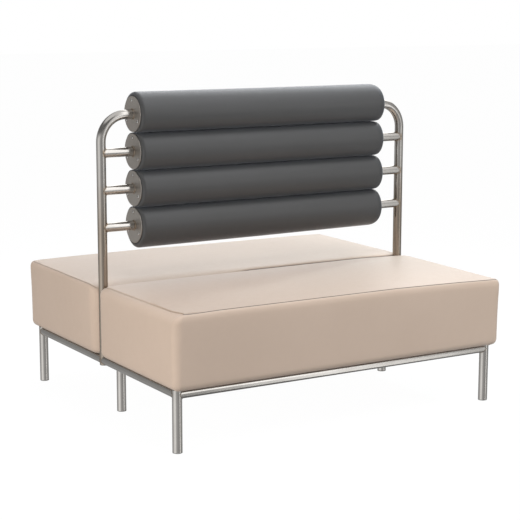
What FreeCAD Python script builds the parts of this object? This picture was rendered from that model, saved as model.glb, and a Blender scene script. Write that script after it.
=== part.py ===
import FreeCAD, Part
import math
import os

os.makedirs("parts", exist_ok=True)

# Double-sided booth seat: two seat blocks back to back on a tube frame, with four rolls between two
# bent uprights as the shared backrest. Millimetres, +Z up, X along the bench, Y from front to back.
# The origin is on the floor under the middle of the bench.

# Tubes
leg_diameter = 32.0
rail_diameter = 30.0
stub_diameter = 31.8
tube_wall = 1.5

# Frame
frame_length = 1220.0
frame_depth = 1045.0
rail_clearance_height = 172.7
rail_setback = 0.3
middle_leg_inset = 62.0

# Foot glides and the plugs in the lower ends of the uprights
glide_thickness = 3.0
glide_plug_length = 18.0
glide_edge_round = 1.0
plug_thickness = 2.5
plug_clearance = 0.2

# Backrest rolls
roll_count = 4
roll_pitch = 125.0
roll_squash = 10.5
roll_contact_gap = 0.6
lowest_roll_height = 640.0
roll_standoff = 116.0
upright_top_straight = 26.0
disc_gap = 5.0
disc_thickness = 3.0
disc_edge_round = 0.8
cover_tuck = 8.0
core_inset = 5.0
core_wall = 3.2
end_plug_thickness = 18.0
disc_screw_inset = 14.0
disc_screw_count = 3

# Disc screws, button heads with a hexagon socket
disc_screw_diameter = 5.0
disc_screw_length = 20.0
disc_screw_head_diameter = 12.0
disc_screw_head_height = 3.2
disc_screw_socket = 4.0
disc_screw_socket_depth = 1.5
screw_hole_clearance = 0.2
pilot_clearance = 0.05

# Seat blocks
seat_end_overhang = 32.0
seat_front_overhang = 48.5
seat_height = 456.0
seat_meeting_gap = 0.8
seat_rest_gap = 0.3
seat_outer_corner_round = 28.0
seat_inner_corner_round = 55.0
seat_bottom_edge_round = 16.0
seat_top_edge_round = 20.0
seat_inner_edge_round = 12.0
seat_crown = 8.0
seat_crown_run = 200.0
seat_side_draw = 2.5
post_notch_clearance = 0.6
least_corner_round = 6.0
bottom_edge_steps = 3
top_edge_steps = 4
crown_steps = 4

# Upholstery and what it covers
cover_thickness = 1.5
soft_gap = 0.3
side_foam_thickness = 18.0
post_foam_thickness = 6.0
top_foam_thickness = 66.0
board_thickness = 15.0
deck_thickness = 9.0
timber_outer_round = 10.0
timber_inner_round = 30.0
hem_width = 34.0

# Fixing tabs and their screws
tab_spacing = 400.0
tab_count = 3
tab_width = 40.0
tab_reach = 50.0
tab_root = 5.0
tab_thickness = 4.0
tab_screw_inset = 10.0
tab_screw_diameter = 6.0
tab_screw_length = 16.0
tab_screw_head_diameter = 12.0
tab_screw_head_height = 3.6
tab_screw_socket = 5.0
tab_screw_socket_depth = 2.0
tab_corner_round = 5.0

# Button heads: height of the straight rim and width of the flat crown, as shares of the head
head_rim_share = 0.25
head_crown_share = 0.5

# One overrun serves every cut that passes right through
overrun = 2.0

# Derived places
leg_radius = leg_diameter / 2
rail_radius = rail_diameter / 2
leg_x = frame_length / 2
leg_y = frame_depth / 2
rail_axis_height = rail_clearance_height + rail_radius
rail_top = rail_clearance_height + rail_diameter
rail_offset = leg_radius - rail_radius - rail_setback
middle_leg_x = leg_x - middle_leg_inset
bend_radius = roll_standoff - upright_top_straight
top_roll_height = lowest_roll_height + (roll_count - 1) * roll_pitch
roll_radius = roll_pitch / 2 + roll_squash
disc_radius = roll_pitch / 2 - disc_gap / 2
disc_face_x = leg_x - roll_standoff
roll_end_x = disc_face_x - disc_thickness
core_radius = disc_radius - core_inset
end_plug_radius = core_radius - core_wall - plug_clearance
disc_screw_circle = disc_radius - disc_screw_inset
seat_half_length = leg_x + seat_end_overhang
seat_outer_y = leg_y + seat_front_overhang
seat_inner_y = seat_meeting_gap / 2
seat_bottom = rail_top + seat_rest_gap
notch_radius = leg_radius + post_notch_clearance

up = FreeCAD.Vector(0, 0, 1)
along_x = FreeCAD.Vector(1, 0, 0)
along_y = FreeCAD.Vector(0, 1, 0)
origin = FreeCAD.Vector(0, 0, 0)


def point(x, y, z):
    return FreeCAD.Vector(x, y, z)


def save(name, shape):
    shape.exportStep("parts/" + name + ".step")
    print(name, "solids", len(shape.Solids), "valid", shape.isValid())


def rod(radius, start, end):
    # Solid round bar from one point to another
    run = end.sub(start)
    return Part.makeCylinder(radius, run.Length, start, run)


def tube(diameter, start, end):
    # Round tube with the frame's wall thickness
    bar = rod(diameter / 2, start, end)
    run = end.sub(start)
    run.normalize()
    before = start.sub(run * overrun)
    after = end.add(run * overrun)
    return bar.cut(rod(diameter / 2 - tube_wall, before, after))


def box_between(low, high):
    return Part.makeBox(high.x - low.x, high.y - low.y, high.z - low.z, low)


def mirrored_x(shape):
    return shape.mirror(origin, along_x)


def mirrored_y(shape):
    return shape.mirror(origin, along_y)


def largest_solid(shape):
    # Coping can leave an offcut inside the neighbouring tube; the tube itself is the larger piece
    return max(shape.Solids, key=lambda solid: solid.Volume)


def turned(profile_edges, axis_point, axis):
    face = Part.Face(Part.Wire(profile_edges))
    return face.revolve(axis_point, axis, 360)


# Legs

def leg(x, y):
    return tube(leg_diameter, point(x, y, glide_thickness), point(x, y, rail_top))


def leg_body(x, y):
    return rod(leg_radius, point(x, y, glide_thickness), point(x, y, rail_top + overrun))


def end_plug(x, y, tube_end, flange):
    # Moulded plug pushed up into a tube end, with a thin flange the width of the tube
    disc = Part.makeCylinder(leg_radius, flange, point(x, y, tube_end - flange))
    low_z = tube_end - flange
    low_edge = [edge for edge in disc.Edges if abs(edge.CenterOfMass.z - low_z) < glide_edge_round / 2]
    disc = disc.makeFillet(glide_edge_round, low_edge[:1])
    stem_radius = leg_radius - tube_wall - plug_clearance
    stem = Part.makeCylinder(stem_radius, glide_plug_length, point(x, y, tube_end))
    return disc.fuse(stem).removeSplitter()


def build_legs():
    places = {
        "leg_front_left": (-leg_x, -leg_y),
        "leg_front_right": (leg_x, -leg_y),
        "leg_back_left": (-leg_x, leg_y),
        "leg_back_right": (leg_x, leg_y),
        "leg_middle_left": (-middle_leg_x, 0),
        "leg_middle_right": (middle_leg_x, 0),
    }
    for name, (x, y) in places.items():
        save(name, leg(x, y))
    glides = [end_plug(x, y, glide_thickness, glide_thickness) for x, y in places.values()]
    save("leg_glides", Part.makeCompound(glides))


# Uprights, each bent inwards at the top to carry the top roll

def upright_route():
    top_z = top_roll_height
    bend_start = point(-leg_x, 0, top_z - bend_radius)
    bend_end = point(-leg_x + bend_radius, 0, top_z)
    half_turn = math.radians(45)
    bend_middle = point(
        -leg_x + bend_radius * (1 - math.cos(half_turn)), 0, top_z - bend_radius * (1 - math.sin(half_turn))
    )
    foot = point(-leg_x, 0, rail_clearance_height)
    tip = point(-disc_face_x, 0, top_z)
    return Part.Wire([
        Part.LineSegment(foot, bend_start).toShape(),
        Part.Arc(bend_start, bend_middle, bend_end).toShape(),
        Part.LineSegment(bend_end, tip).toShape(),
    ])


def swept_round(radius):
    route = upright_route()
    circle = Part.Wire([Part.makeCircle(radius, point(-leg_x, 0, rail_clearance_height), up)])
    return route.makePipeShell([circle], True, False)


def upright_body():
    return swept_round(leg_radius)


def build_uprights():
    left = upright_body().cut(swept_round(leg_radius - tube_wall))
    save("upright_left", left)
    save("upright_right", mirrored_x(left))
    plug = end_plug(-leg_x, 0, rail_clearance_height, plug_thickness)
    save("upright_plugs", Part.makeCompound([plug, mirrored_x(plug)]))


# Rails, coped to the legs and uprights that they meet

def build_rails():
    rail_y = leg_y + rail_offset
    z = rail_axis_height
    front = tube(rail_diameter, point(-leg_x, -rail_y, z), point(leg_x, -rail_y, z))
    front = largest_solid(front.cut(leg_body(-leg_x, -leg_y)).cut(leg_body(leg_x, -leg_y)))
    save("front_rail", front)
    save("back_rail", mirrored_y(front))

    # The end rails are coped to the long rails too, which they just reach beside the corner legs
    rail_x = leg_x + rail_offset
    long_rail = rod(rail_radius, point(-leg_x, -rail_y, z), point(leg_x, -rail_y, z))
    end = tube(rail_diameter, point(-rail_x, -leg_y, z), point(-rail_x, 0, z))
    end = end.cut(leg_body(-leg_x, -leg_y)).cut(long_rail)
    end = largest_solid(end.cut(leg_body(-leg_x, 0)))
    save("end_rail_front_left", end)
    save("end_rail_front_right", mirrored_x(end))
    save("end_rail_back_left", mirrored_y(end))
    save("end_rail_back_right", mirrored_x(mirrored_y(end)))

    centre = tube(rail_diameter, point(-middle_leg_x, 0, z), point(middle_leg_x, 0, z))
    centre = largest_solid(centre.cut(leg_body(-middle_leg_x, 0)).cut(leg_body(middle_leg_x, 0)))
    save("centre_rail", centre)

    link = tube(rail_diameter, point(-leg_x, 0, z), point(-middle_leg_x, 0, z))
    end_rails = rod(rail_radius, point(-rail_x, -leg_y, z), point(-rail_x, leg_y, z))
    link = link.cut(leg_body(-leg_x, 0)).cut(end_rails)
    link = largest_solid(link.cut(leg_body(-middle_leg_x, 0)))
    save("centre_rail_links", Part.makeCompound([link, mirrored_x(link)]))


# Stub tubes that carry the three lower rolls

def roll_height(number):
    # Rolls are numbered from the top
    return top_roll_height - (number - 1) * roll_pitch


def build_stubs():
    post = upright_body()
    for number in range(2, roll_count + 1):
        z = roll_height(number)
        stub = tube(stub_diameter, point(-leg_x, 0, z), point(-disc_face_x, 0, z))
        stub = largest_solid(stub.cut(post))
        save("stub_left_%d" % number, stub)
        save("stub_right_%d" % number, mirrored_x(stub))


# Screws

def button_screw(head_diameter, head_height, shank_diameter, shank_length, socket, socket_depth):
    # Domed head above the seating plane at the origin, shank below it, both on the Z axis
    head_radius = head_diameter / 2
    shank_radius = shank_diameter / 2
    rim_height = head_height * head_rim_share
    crown_radius = head_radius * head_crown_share
    dome_x = (head_radius + crown_radius + rim_height) / 2
    dome_z = (rim_height + head_height + rim_height) / 2
    rim_top = point(head_radius, 0, rim_height)
    dome_middle = point(dome_x, 0, dome_z)
    dome_top = point(crown_radius, 0, head_height)
    edges = [
        Part.LineSegment(point(0, 0, -shank_length), point(shank_radius, 0, -shank_length)).toShape(),
        Part.LineSegment(point(shank_radius, 0, -shank_length), point(shank_radius, 0, 0)).toShape(),
        Part.LineSegment(point(shank_radius, 0, 0), point(head_radius, 0, 0)).toShape(),
        Part.LineSegment(point(head_radius, 0, 0), rim_top).toShape(),
        Part.Arc(rim_top, dome_middle, dome_top).toShape(),
        Part.LineSegment(dome_top, point(0, 0, head_height)).toShape(),
        Part.LineSegment(point(0, 0, head_height), point(0, 0, -shank_length)).toShape(),
    ]
    body = turned(edges, origin, up)
    corner_radius = socket / math.sqrt(3)
    corners = []
    for side in range(7):
        angle = math.radians(60 * side)
        x = corner_radius * math.cos(angle)
        y = corner_radius * math.sin(angle)
        corners.append(point(x, y, head_height - socket_depth))
    key = Part.Face(Part.makePolygon(corners)).extrude(up * (socket_depth + overrun))
    return body.cut(key)


# End discs, plugs and screws of the rolls

def disc_screw_places(z):
    # Screws at equal angles on a circle, the first one straight up
    places = []
    for index in range(disc_screw_count):
        angle = math.radians(90 + index * 360 / disc_screw_count)
        places.append((disc_screw_circle * math.cos(angle), z + disc_screw_circle * math.sin(angle)))
    return places


def end_disc(z):
    disc = Part.makeCylinder(disc_radius, disc_thickness, point(-disc_face_x, 0, z), along_x)
    rim = [edge for edge in disc.Edges if abs(edge.CenterOfMass.x + disc_face_x) < disc_edge_round / 2]
    disc = disc.makeFillet(disc_edge_round, rim[:1])
    hole_radius = disc_screw_diameter / 2 + screw_hole_clearance
    for y, hole_z in disc_screw_places(z):
        start = point(-disc_face_x - overrun, y, hole_z)
        disc = disc.cut(rod(hole_radius, start, point(-roll_end_x + overrun, y, hole_z)))
    return disc


def end_plug_board(z):
    # Plywood plug pressed into the core pipe, with a pilot hole for each screw
    outer_x = roll_end_x - soft_gap
    board = rod(end_plug_radius, point(-outer_x, 0, z), point(-outer_x + end_plug_thickness, 0, z))
    pilot_radius = disc_screw_diameter / 2 + pilot_clearance
    for y, hole_z in disc_screw_places(z):
        start = point(-outer_x - overrun, y, hole_z)
        end = point(-outer_x + end_plug_thickness + overrun, y, hole_z)
        board = board.cut(rod(pilot_radius, start, end))
    return board


def build_roll_ends():
    screw = button_screw(
        disc_screw_head_diameter, disc_screw_head_height, disc_screw_diameter, disc_screw_length,
        disc_screw_socket, disc_screw_socket_depth
    )
    screw.rotate(origin, along_y, -90)
    screws = []
    plugs = []
    for number in range(1, roll_count + 1):
        z = roll_height(number)
        disc = end_disc(z)
        save("disc_left_%d" % number, disc)
        save("disc_right_%d" % number, mirrored_x(disc))
        board = end_plug_board(z)
        plugs += [board, mirrored_x(board)]
        for y, hole_z in disc_screw_places(z):
            placed = screw.copy()
            placed.translate(point(-disc_face_x, y, hole_z))
            screws += [placed, mirrored_x(placed)]
    save("disc_screws", Part.makeCompound(screws))
    save("roll_end_plugs", Part.makeCompound(plugs))


# Backrest rolls: round with soft shoulders at the ends, pressed flat where they meet each other

def roll_form(number, skin):
    z = roll_height(number)
    radius = roll_radius - skin
    half = roll_end_x - skin
    shoulder = roll_radius - disc_radius
    face_radius = disc_radius - skin
    turn = math.radians(45)
    left_mid = point(-half + shoulder * (1 - math.cos(turn)), 0, face_radius + shoulder * math.sin(turn))
    right_mid = point(half - shoulder * (1 - math.cos(turn)), 0, face_radius + shoulder * math.sin(turn))
    edges = [
        Part.LineSegment(point(-half, 0, 0), point(-half, 0, face_radius)).toShape(),
        Part.Arc(point(-half, 0, face_radius), left_mid, point(-half + shoulder, 0, radius)).toShape(),
        Part.LineSegment(point(-half + shoulder, 0, radius), point(half - shoulder, 0, radius)).toShape(),
        Part.Arc(point(half - shoulder, 0, radius), right_mid, point(half, 0, face_radius)).toShape(),
        Part.LineSegment(point(half, 0, face_radius), point(half, 0, 0)).toShape(),
        Part.LineSegment(point(half, 0, 0), point(-half, 0, 0)).toShape(),
    ]
    form = turned(edges, origin, along_x)
    form.translate(point(0, 0, z))
    contact = (roll_pitch - roll_contact_gap) / 2 - skin
    reach = roll_radius + overrun
    top = contact if number > 1 else reach
    bottom = contact if number < roll_count else reach
    slab = box_between(
        point(-roll_end_x - overrun, -reach, z - bottom), point(roll_end_x + overrun, reach, z + top)
    )
    return form.common(slab)


def through_rod(radius, z):
    return rod(radius, point(-roll_end_x - overrun, 0, z), point(roll_end_x + overrun, 0, z))


def build_rolls():
    core_half = roll_end_x - cover_thickness - soft_gap
    for number in range(1, roll_count + 1):
        z = roll_height(number)
        outer = roll_form(number, 0)
        cover = outer.cut(roll_form(number, cover_thickness)).cut(through_rod(disc_radius - cover_tuck, z))
        save("roll_cover_%d" % number, cover)
        foam = roll_form(number, cover_thickness + soft_gap).cut(through_rod(core_radius + soft_gap, z))
        save("roll_foam_%d" % number, foam)
        core = rod(core_radius, point(-core_half, 0, z), point(core_half, 0, z))
        core = core.cut(through_rod(core_radius - core_wall, z))
        save("roll_core_%d" % number, core)


# Seat blocks: straight-sided boxes with soft edges and a low crown, notched around the uprights

def rounded_outline(half_length, outer_y, inner_y, outer_round, inner_round, z):
    # Rounded rectangle on the front half, anticlockwise from its front left corner
    xs = half_length
    front = -outer_y
    back = -inner_y
    turn = math.radians(45)
    corners = [
        (-xs + outer_round, front + outer_round, outer_round, 180),
        (xs - outer_round, front + outer_round, outer_round, 270),
        (xs - inner_round, back - inner_round, inner_round, 0),
        (-xs + inner_round, back - inner_round, inner_round, 90),
    ]
    edges = []
    last_point = None
    first_point = None
    for cx, cy, radius, start_angle in corners:
        start = math.radians(start_angle)
        angles = [start, start + turn, start + 2 * turn]
        places = [point(cx + radius * math.cos(a), cy + radius * math.sin(a), z) for a in angles]
        if last_point is None:
            first_point = places[0]
        else:
            edges.append(Part.LineSegment(last_point, places[0]).toShape())
        edges.append(Part.Arc(places[0], places[1], places[2]).toShape())
        last_point = places[2]
    edges.append(Part.LineSegment(last_point, first_point).toShape())
    return Part.Wire(edges)


def seat_levels():
    # Height, inset from the three outer sides and inset from the meeting side, from the bottom up
    levels = []
    quarter = math.radians(90)
    for step in range(bottom_edge_steps + 1):
        angle = quarter * step / bottom_edge_steps
        inset = seat_bottom_edge_round * (1 - math.sin(angle))
        z = seat_bottom + seat_bottom_edge_round * (1 - math.cos(angle))
        levels.append((z, inset + seat_side_draw, inset))
    shoulder_z = seat_height - seat_crown - seat_top_edge_round
    for step in range(top_edge_steps + 1):
        angle = quarter * step / top_edge_steps
        z = shoulder_z + seat_top_edge_round * math.sin(angle)
        outer_inset = seat_top_edge_round * (1 - math.cos(angle))
        inner_inset = seat_inner_edge_round * (1 - math.cos(angle))
        levels.append((z, outer_inset, inner_inset))
    for step in range(1, crown_steps + 1):
        share = step / crown_steps
        z = seat_height - seat_crown * (1 - share) ** 2
        outer_inset = seat_top_edge_round + seat_crown_run * share
        inner_inset = seat_inner_edge_round + seat_crown_run * share
        levels.append((z, outer_inset, inner_inset))
    return levels


def seat_form(skin):
    # The block's outer shape, or a shape inside it by the thickness of a skin
    wires = []
    for index, (z, outer_inset, inner_inset) in enumerate(seat_levels()):
        level_z = z + skin if index <= bottom_edge_steps else z - skin
        outer_round = max(seat_outer_corner_round - skin - outer_inset, least_corner_round)
        inner_round = max(seat_inner_corner_round - skin - inner_inset, least_corner_round)
        wires.append(rounded_outline(
            seat_half_length - skin - outer_inset, seat_outer_y - skin - outer_inset,
            seat_inner_y + skin + inner_inset, outer_round, inner_round, level_z
        ))
    form = Part.makeLoft(wires, True, True)
    notch = post_columns(notch_radius + skin)
    return form.cut(notch)


def post_columns(radius):
    low = point(-leg_x, 0, seat_bottom - overrun)
    high = point(-leg_x, 0, seat_height + overrun)
    column = rod(radius, low, high)
    return Part.makeCompound([column, mirrored_x(column)])


# Levels inside a seat block
filling_skin = cover_thickness + soft_gap
base_bottom = seat_bottom + filling_skin
base_top = base_bottom + board_thickness
deck_top = seat_height - filling_skin - top_foam_thickness
deck_bottom = deck_top - deck_thickness
box_x = seat_half_length - filling_skin - side_foam_thickness
box_outer_y = seat_outer_y - filling_skin - side_foam_thickness
box_inner_y = notch_radius + filling_skin + post_foam_thickness


def timber_slab(low_z, high_z, growth):
    # Plan of the timber box, or of the room it needs, with its corners rounded inside the cover's
    outline = rounded_outline(
        box_x + growth, box_outer_y + growth, box_inner_y - growth,
        timber_outer_round + growth, timber_inner_round + growth, low_z
    )
    return Part.Face(outline).extrude(up * (high_z - low_z))


def build_seat_cover():
    hollow = seat_form(cover_thickness)
    cover = seat_form(0).cut(hollow)
    hem_x = seat_half_length - seat_side_draw - hem_width
    mouth = box_between(
        point(-hem_x, -seat_outer_y + seat_side_draw + hem_width, seat_bottom - overrun),
        point(hem_x, -seat_inner_y - hem_width, base_bottom)
    )
    return cover.cut(mouth)


def build_seat_filling():
    # Foam slab on the deck, and a ring of four foam strips around the timber box
    inside = seat_form(filling_skin)
    reach_x = seat_half_length + overrun
    reach_y = seat_outer_y + overrun
    low_z = seat_bottom - overrun
    top_zone = box_between(
        point(-reach_x, -reach_y, deck_top + soft_gap), point(reach_x, 0, seat_height + overrun)
    )
    slab = inside.common(top_zone)
    ring_zone = box_between(point(-reach_x, -reach_y, low_z), point(reach_x, 0, deck_top))
    ring = inside.common(ring_zone).cut(timber_slab(low_z, deck_top + overrun, soft_gap))
    split_x = box_x - timber_inner_round
    split = box_between(
        point(-split_x - soft_gap, -reach_y, low_z), point(-split_x, 0, deck_top + overrun)
    )
    ring = ring.cut(split).cut(mirrored_x(split))
    return slab, Part.makeCompound(ring.Solids)


def build_seat_timber():
    # Base board, box of four boards and deck
    base = timber_slab(base_bottom, base_top, 0)
    pilot_radius = tab_screw_diameter / 2 + pilot_clearance
    for x, y in tab_screw_places():
        start = point(x, y, base_bottom - overrun)
        base = base.cut(rod(pilot_radius, start, point(x, y, base_top + overrun)))
    deck = timber_slab(deck_bottom, deck_top, 0)
    box = timber_slab(base_top, deck_bottom, 0)
    outer_joint = -box_outer_y + board_thickness
    inner_joint = -box_inner_y - board_thickness
    outer_board = box.common(box_between(
        point(-box_x, -box_outer_y, base_top), point(box_x, outer_joint, deck_bottom)
    ))
    inner_board = box.common(box_between(
        point(-box_x, inner_joint, base_top), point(box_x, -box_inner_y, deck_bottom)
    ))
    end_board = box.common(box_between(
        point(-box_x, outer_joint, base_top), point(-box_x + board_thickness, inner_joint, deck_bottom)
    ))
    boards = Part.makeCompound([outer_board, inner_board, end_board, mirrored_x(end_board)])
    return base, boards, deck


def tab_screw_places():
    # Under the front seat: a row along the front rail and a row along the centre rail
    rail_y = leg_y + rail_offset
    screw_reach = tab_reach - tab_screw_inset
    places = []
    for index in range(tab_count):
        x = (index - (tab_count - 1) / 2) * tab_spacing
        places.append((x, -rail_y + screw_reach))
        places.append((x, -screw_reach))
    return places


def fixing_tab(x, axis_y, inward):
    # Flat tab with two round corners, coped to the rail tube that it is welded to
    low_y = min(axis_y + inward * tab_root, axis_y + inward * tab_reach)
    plate = Part.makeBox(
        tab_width, tab_reach - tab_root, tab_thickness,
        point(x - tab_width / 2, low_y, rail_top - tab_thickness)
    )
    free_y = axis_y + inward * tab_reach
    corners = [
        edge for edge in plate.Edges
        if abs(edge.BoundBox.ZLength - tab_thickness) < tab_thickness / 2
        and abs(edge.CenterOfMass.y - free_y) < tab_corner_round / 2
    ]
    plate = plate.makeFillet(tab_corner_round, corners)
    rail_start = point(x - tab_width, axis_y, rail_axis_height)
    rail = rod(rail_radius, rail_start, point(x + tab_width, axis_y, rail_axis_height))
    hole_y = axis_y + inward * (tab_reach - tab_screw_inset)
    hole_radius = tab_screw_diameter / 2 + screw_hole_clearance
    hole = rod(hole_radius, point(x, hole_y, rail_axis_height), point(x, hole_y, rail_top + overrun))
    return largest_solid(plate.cut(rail).cut(hole))


def build_tabs():
    rail_y = leg_y + rail_offset
    tabs = []
    screws = []
    screw = button_screw(
        tab_screw_head_diameter, tab_screw_head_height, tab_screw_diameter, tab_screw_length,
        tab_screw_socket, tab_screw_socket_depth
    )
    screw.rotate(origin, along_x, 180)
    for index in range(tab_count):
        x = (index - (tab_count - 1) / 2) * tab_spacing
        front_tab = fixing_tab(x, -rail_y, 1)
        centre_tab = fixing_tab(x, 0, -1)
        tabs += [front_tab, mirrored_y(front_tab), centre_tab, mirrored_y(centre_tab)]
    for x, y in tab_screw_places():
        placed = screw.copy()
        placed.translate(point(x, y, rail_top - tab_thickness))
        screws += [placed, mirrored_y(placed)]
    save("seat_tabs", Part.makeCompound(tabs))
    save("seat_tab_screws", Part.makeCompound(screws))


def build_seats():
    cover = build_seat_cover()
    slab, strips = build_seat_filling()
    base, boards, deck = build_seat_timber()
    pieces = {
        "seat_cover": cover,
        "seat_foam_slab": slab,
        "seat_foam_strips": strips,
        "seat_base_board": base,
        "seat_box_boards": boards,
        "seat_deck": deck,
    }
    for name, shape in pieces.items():
        save(name + "_front", shape)
        save(name + "_back", mirrored_y(shape))


build_legs()
build_uprights()
build_rails()
build_stubs()
build_roll_ends()
build_rolls()
build_tabs()
build_seats()
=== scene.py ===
import math
import bmesh
import bpy
import numpy as np
from mathutils import Matrix, Vector


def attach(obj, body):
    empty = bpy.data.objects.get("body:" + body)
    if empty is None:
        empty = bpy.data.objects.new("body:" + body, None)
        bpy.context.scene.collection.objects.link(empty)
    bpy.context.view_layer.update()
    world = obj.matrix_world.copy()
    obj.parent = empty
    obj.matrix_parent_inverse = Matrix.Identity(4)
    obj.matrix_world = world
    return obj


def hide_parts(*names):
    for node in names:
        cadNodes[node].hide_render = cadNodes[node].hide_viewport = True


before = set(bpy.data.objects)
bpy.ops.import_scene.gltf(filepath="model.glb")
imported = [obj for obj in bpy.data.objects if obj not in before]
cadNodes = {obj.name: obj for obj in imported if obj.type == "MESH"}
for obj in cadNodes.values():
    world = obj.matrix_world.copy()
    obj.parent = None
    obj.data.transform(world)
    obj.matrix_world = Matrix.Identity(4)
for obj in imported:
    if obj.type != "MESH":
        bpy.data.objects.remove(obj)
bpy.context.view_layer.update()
scene = bpy.context.scene
print("frame loaded,", len(cadNodes), "nodes")

# Camera, floor and lamps

cameraSet = {
    "place": (-2.71757, -4.49894, 1.40475),
    "yaw": 31.19,           # from +Y towards +X
    "pitch": 10.02,         # downwards
    "roll": -0.10,
    "lens": 103.59,
    "sensor": 36.0,
    "near": 0.1,
    "far": 100.0,
}


def addCamera(s):
    yaw, pitch, roll = (math.radians(s[k]) for k in ("yaw", "pitch", "roll"))
    forward = Vector((math.sin(yaw) * math.cos(pitch), math.cos(yaw) * math.cos(pitch), -math.sin(pitch)))
    right = Vector((math.cos(yaw), -math.sin(yaw), 0.0))
    down = forward.cross(right)
    tiltedRight = right * math.cos(roll) + down * math.sin(roll)
    up = right * math.sin(roll) - down * math.cos(roll)
    data = bpy.data.cameras.new("photoCamera")
    data.sensor_width = s["sensor"]
    data.lens = s["lens"]
    data.clip_start = s["near"]
    data.clip_end = s["far"]
    cam = bpy.data.objects.new("photoCamera", data)
    cam.matrix_world = Matrix((
        (tiltedRight.x, up.x, -forward.x, s["place"][0]),
        (tiltedRight.y, up.y, -forward.y, s["place"][1]),
        (tiltedRight.z, up.z, -forward.z, s["place"][2]),
        (0, 0, 0, 1),
    ))
    scene.collection.objects.link(cam)
    scene.camera = cam


addCamera(cameraSet)
scene.view_settings.view_transform = "Standard"

lampSet = {
    # name: (place, aims at, width, height, watts, colour)
    "backLamp": ((0.5, 2.4, 3.0), (0.0, 0.2, 0.5), 2.0, 1.2, 18.0, (0.98, 0.99, 1.0)),
    "overheadLamp": ((0.4, 0.4, 3.2), (0.0, 0.0, 0.5), 2.4, 1.8, 46.0, (0.99, 0.99, 1.02)),
    "topFrontLamp": ((0.1, -1.8, 3.0), (0.0, 0.0, 0.5), 2.0, 2.0, 59.0, (0.93, 0.96, 1.02)),
    "leftLamp": ((-3.6, -1.05, 0.85), (0.0, 0.0, 0.5), 1.6, 1.6, 90.0, (1.0, 0.98, 0.95)),
    "frontLamp": ((2.9, -3.4, 1.2), (0.0, 0.0, 0.5), 1.8, 1.8, 62.0, (1.0, 0.98, 0.93)),
    "keyLamp": ((2.05, 0.49, 1.9), (0.0, -0.2, 0.45), 0.22, 0.22, 34.0, (0.60, 0.84, 1.0)),
}


def addLamps(lamps):
    for name, (place, aim, width, height, watts, colour) in lamps.items():
        data = bpy.data.lights.new(name, "AREA")
        data.shape = "RECTANGLE"
        data.size = width
        data.size_y = height
        data.energy = watts
        data.color = colour
        lamp = bpy.data.objects.new(name, data)
        lamp.location = place
        lamp.rotation_euler = (Vector(aim) - Vector(place)).to_track_quat("-Z", "Y").to_euler()
        lamp.visible_camera = False
        lamp.visible_glossy = False
        scene.collection.objects.link(lamp)


addLamps(lampSet)

worldSet = {"light": (0.24, 0.24, 0.25), "seen": (1.0, 1.0, 1.0)}


def cameraOrGloss(tree):
    # 1 for camera, glossy and transmission rays, else 0
    path = tree.nodes.new("ShaderNodeLightPath")
    first = tree.nodes.new("ShaderNodeMath")
    first.operation = "MAXIMUM"
    second = tree.nodes.new("ShaderNodeMath")
    second.operation = "MAXIMUM"
    tree.links.new(path.outputs["Is Camera Ray"], first.inputs[0])
    tree.links.new(path.outputs["Is Glossy Ray"], first.inputs[1])
    tree.links.new(first.outputs[0], second.inputs[0])
    tree.links.new(path.outputs["Is Transmission Ray"], second.inputs[1])
    return second.outputs[0]


def addWorld(s):
    world = bpy.data.worlds.new("studioWorld")
    world.use_nodes = True
    scene.world = world
    tree = world.node_tree
    tree.nodes.clear()
    lit = tree.nodes.new("ShaderNodeBackground")
    lit.inputs["Color"].default_value = (*s["light"], 1)
    seen = tree.nodes.new("ShaderNodeBackground")
    seen.inputs["Color"].default_value = (*s["seen"], 1)
    mix = tree.nodes.new("ShaderNodeMixShader")
    out = tree.nodes.new("ShaderNodeOutputWorld")
    tree.links.new(cameraOrGloss(tree), mix.inputs["Fac"])
    tree.links.new(lit.outputs[0], mix.inputs[1])
    tree.links.new(seen.outputs[0], mix.inputs[2])
    tree.links.new(mix.outputs[0], out.inputs["Surface"])


addWorld(worldSet)

floorSet = {"half": 30.0, "colour": (0.45, 0.45, 0.45), "whiteShare": 0.93, "white": 1.055}


def addFloor(s):
    h = s["half"]
    mesh = bpy.data.meshes.new("floor")
    mesh.from_pydata([(-h, -h, 0), (h, -h, 0), (h, h, 0), (-h, h, 0)], [], [(0, 1, 2, 3)])
    floor = bpy.data.objects.new("floor", mesh)
    scene.collection.objects.link(floor)
    mat = bpy.data.materials.new("paleFloor")
    mat.use_nodes = True
    tree = mat.node_tree
    tree.nodes.clear()
    paint = tree.nodes.new("ShaderNodeBsdfDiffuse")
    paint.inputs["Color"].default_value = (*s["colour"], 1)
    glow = tree.nodes.new("ShaderNodeEmission")
    glow.inputs["Color"].default_value = (1, 1, 1, 1)
    glow.inputs["Strength"].default_value = s["white"]
    share = tree.nodes.new("ShaderNodeMath")
    share.operation = "MULTIPLY"
    share.inputs[1].default_value = s["whiteShare"]
    mix = tree.nodes.new("ShaderNodeMixShader")
    out = tree.nodes.new("ShaderNodeOutputMaterial")
    tree.links.new(cameraOrGloss(tree), share.inputs[0])
    tree.links.new(share.outputs[0], mix.inputs["Fac"])
    tree.links.new(paint.outputs[0], mix.inputs[1])
    tree.links.new(glow.outputs[0], mix.inputs[2])
    tree.links.new(mix.outputs[0], out.inputs["Surface"])
    mesh.materials.append(mat)
    floor.visible_glossy = False


addFloor(floorSet)

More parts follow.
